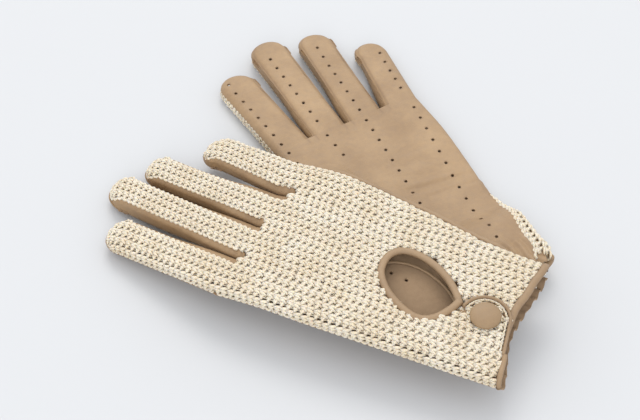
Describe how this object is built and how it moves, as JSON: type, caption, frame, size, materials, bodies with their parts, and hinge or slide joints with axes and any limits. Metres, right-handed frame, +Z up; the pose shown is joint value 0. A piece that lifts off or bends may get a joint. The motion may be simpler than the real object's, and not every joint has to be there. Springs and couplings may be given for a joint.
{
  "type": "leather driving gloves",
  "caption": "Pair of leather driving gloves with crochet cotton backs, punched palms, an open knuckle oval and a snap wrist tab, lying crossed.",
  "frame": {"origin": "centre of the footprint of the pair, on the surface they lie on", "axes": "+Z up, +Y the way the lower (left) glove's fingers point, +X toward its little finger"},
  "size_m": [0.214, 0.2946, 0.0356],
  "materials": {
    "crochet_cotton": "matte crochet cotton",
    "palm_leather": "fine-grained nappa, satin",
    "binding_leather": "satin rolled leather",
    "snap_metal": "brushed",
    "elastic": "matte woven elastic"
  },
  "bodies": {
    "left_hand": {"left_back_hand": "crochet_cotton", "left_palm_hand": "palm_leather", "left_opening_binding": "binding_leather", "left_hem_binding_thumb": "binding_leather", "left_hem_binding_little": "binding_leather", "left_wrist_elastic": "elastic", "left_snap_stud": "snap_metal", "left_snap_post": "snap_metal"},
    "left_index": {"left_back_index": "crochet_cotton", "left_palm_index": "palm_leather", "left_fourchette_index_inner": "palm_leather"},
    "left_middle": {"left_back_middle": "crochet_cotton", "left_palm_middle": "palm_leather", "left_fourchette_middle_outer": "palm_leather", "left_fourchette_middle_inner": "palm_leather"},
    "left_ring": {"left_back_ring": "crochet_cotton", "left_palm_ring": "palm_leather", "left_fourchette_ring_outer": "palm_leather", "left_fourchette_ring_inner": "palm_leather"},
    "left_little": {"left_back_little": "crochet_cotton", "left_palm_little": "palm_leather", "left_fourchette_little_outer": "palm_leather"},
    "left_thumb": {"left_thumb": "palm_leather"},
    "left_tab": {"left_tab": "crochet_cotton", "left_tab_facing": "palm_leather", "left_tab_binding": "binding_leather", "left_snap_cap": "binding_leather", "left_snap_socket": "snap_metal"},
    "right_hand": {"right_back_hand": "crochet_cotton", "right_palm_hand": "palm_leather", "right_opening_binding": "binding_leather", "right_hem_binding_thumb": "binding_leather", "right_hem_binding_little": "binding_leather", "right_wrist_elastic": "elastic", "right_snap_stud": "snap_metal", "right_snap_post": "snap_metal"},
    "right_index": {"right_back_index": "crochet_cotton", "right_palm_index": "palm_leather", "right_fourchette_index_inner": "palm_leather"},
    "right_middle": {"right_back_middle": "crochet_cotton", "right_palm_middle": "palm_leather", "right_fourchette_middle_outer": "palm_leather", "right_fourchette_middle_inner": "palm_leather"},
    "right_ring": {"right_back_ring": "crochet_cotton", "right_palm_ring": "palm_leather", "right_fourchette_ring_outer": "palm_leather", "right_fourchette_ring_inner": "palm_leather"},
    "right_little": {"right_back_little": "crochet_cotton", "right_palm_little": "palm_leather", "right_fourchette_little_outer": "palm_leather"},
    "right_thumb": {"right_thumb": "palm_leather"},
    "right_tab": {"right_tab": "crochet_cotton", "right_tab_facing": "palm_leather", "right_tab_binding": "binding_leather", "right_snap_cap": "binding_leather", "right_snap_socket": "snap_metal"}
  },
  "joints": [
    {"name": "right_glove_lift", "type": "slide", "parent": "left_hand", "child": "right_hand", "axis": [0, 0, 1], "range_m": [0, 0.15]},
    {"name": "left_index_bend", "type": "hinge", "parent": "left_hand", "child": "left_index", "pos_m": [0.01616, 0.05638, 0.0102], "axis": [1, 0, 0], "range_deg": [0, 75]},
    {"name": "left_middle_bend", "type": "hinge", "parent": "left_hand", "child": "left_middle", "pos_m": [0.03996, 0.05638, 0.0102], "axis": [1, 0, 0], "range_deg": [0, 75]},
    {"name": "left_ring_bend", "type": "hinge", "parent": "left_hand", "child": "left_ring", "pos_m": [0.06366, 0.05638, 0.0102], "axis": [1, 0, 0], "range_deg": [0, 75]},
    {"name": "left_little_bend", "type": "hinge", "parent": "left_hand", "child": "left_little", "pos_m": [0.08731, 0.05638, 0.0102], "axis": [1, 0, 0], "range_deg": [0, 75]},
    {"name": "left_thumb_swing", "type": "hinge", "parent": "left_hand", "child": "left_thumb", "pos_m": [0.02591, -0.02462, 0.014], "axis": [0, 0, -1], "range_deg": [0, 45]},
    {"name": "left_tab_open", "type": "hinge", "parent": "left_hand", "child": "left_tab", "pos_m": [0.02161, -0.07162, 0.0066], "axis": [0, 1, 0], "range_deg": [0, 90]},
    {"name": "right_index_bend", "type": "hinge", "parent": "right_hand", "child": "right_index", "pos_m": [-0.06575, -0.02051, 0.02554], "axis": [0.8225, 0.5674, 0.0408], "range_deg": [0, 45]},
    {"name": "right_middle_bend", "type": "hinge", "parent": "right_hand", "child": "right_middle", "pos_m": [-0.04616, -0.007, 0.02651], "axis": [0.8225, 0.5674, 0.0408], "range_deg": [0, 45]},
    {"name": "right_ring_bend", "type": "hinge", "parent": "right_hand", "child": "right_ring", "pos_m": [-0.02665, 0.00646, 0.02748], "axis": [0.8225, 0.5674, 0.0408], "range_deg": [0, 45]},
    {"name": "right_little_bend", "type": "hinge", "parent": "right_hand", "child": "right_little", "pos_m": [-0.00719, 0.01989, 0.02844], "axis": [0.8225, 0.5674, 0.0408], "range_deg": [0, 45]},
    {"name": "right_thumb_swing", "type": "hinge", "parent": "right_hand", "child": "right_thumb", "pos_m": [-0.01173, -0.08165, 0.0152], "axis": [0.0411, 0.0284, -0.9988], "range_deg": [-35, 30]},
    {"name": "right_tab_open", "type": "hinge", "parent": "right_hand", "child": "right_tab", "pos_m": [0.01142, -0.12278, 0.02812], "axis": [0.5675, -0.8227, -0.0333], "range_deg": [0, 90]}
  ]
}
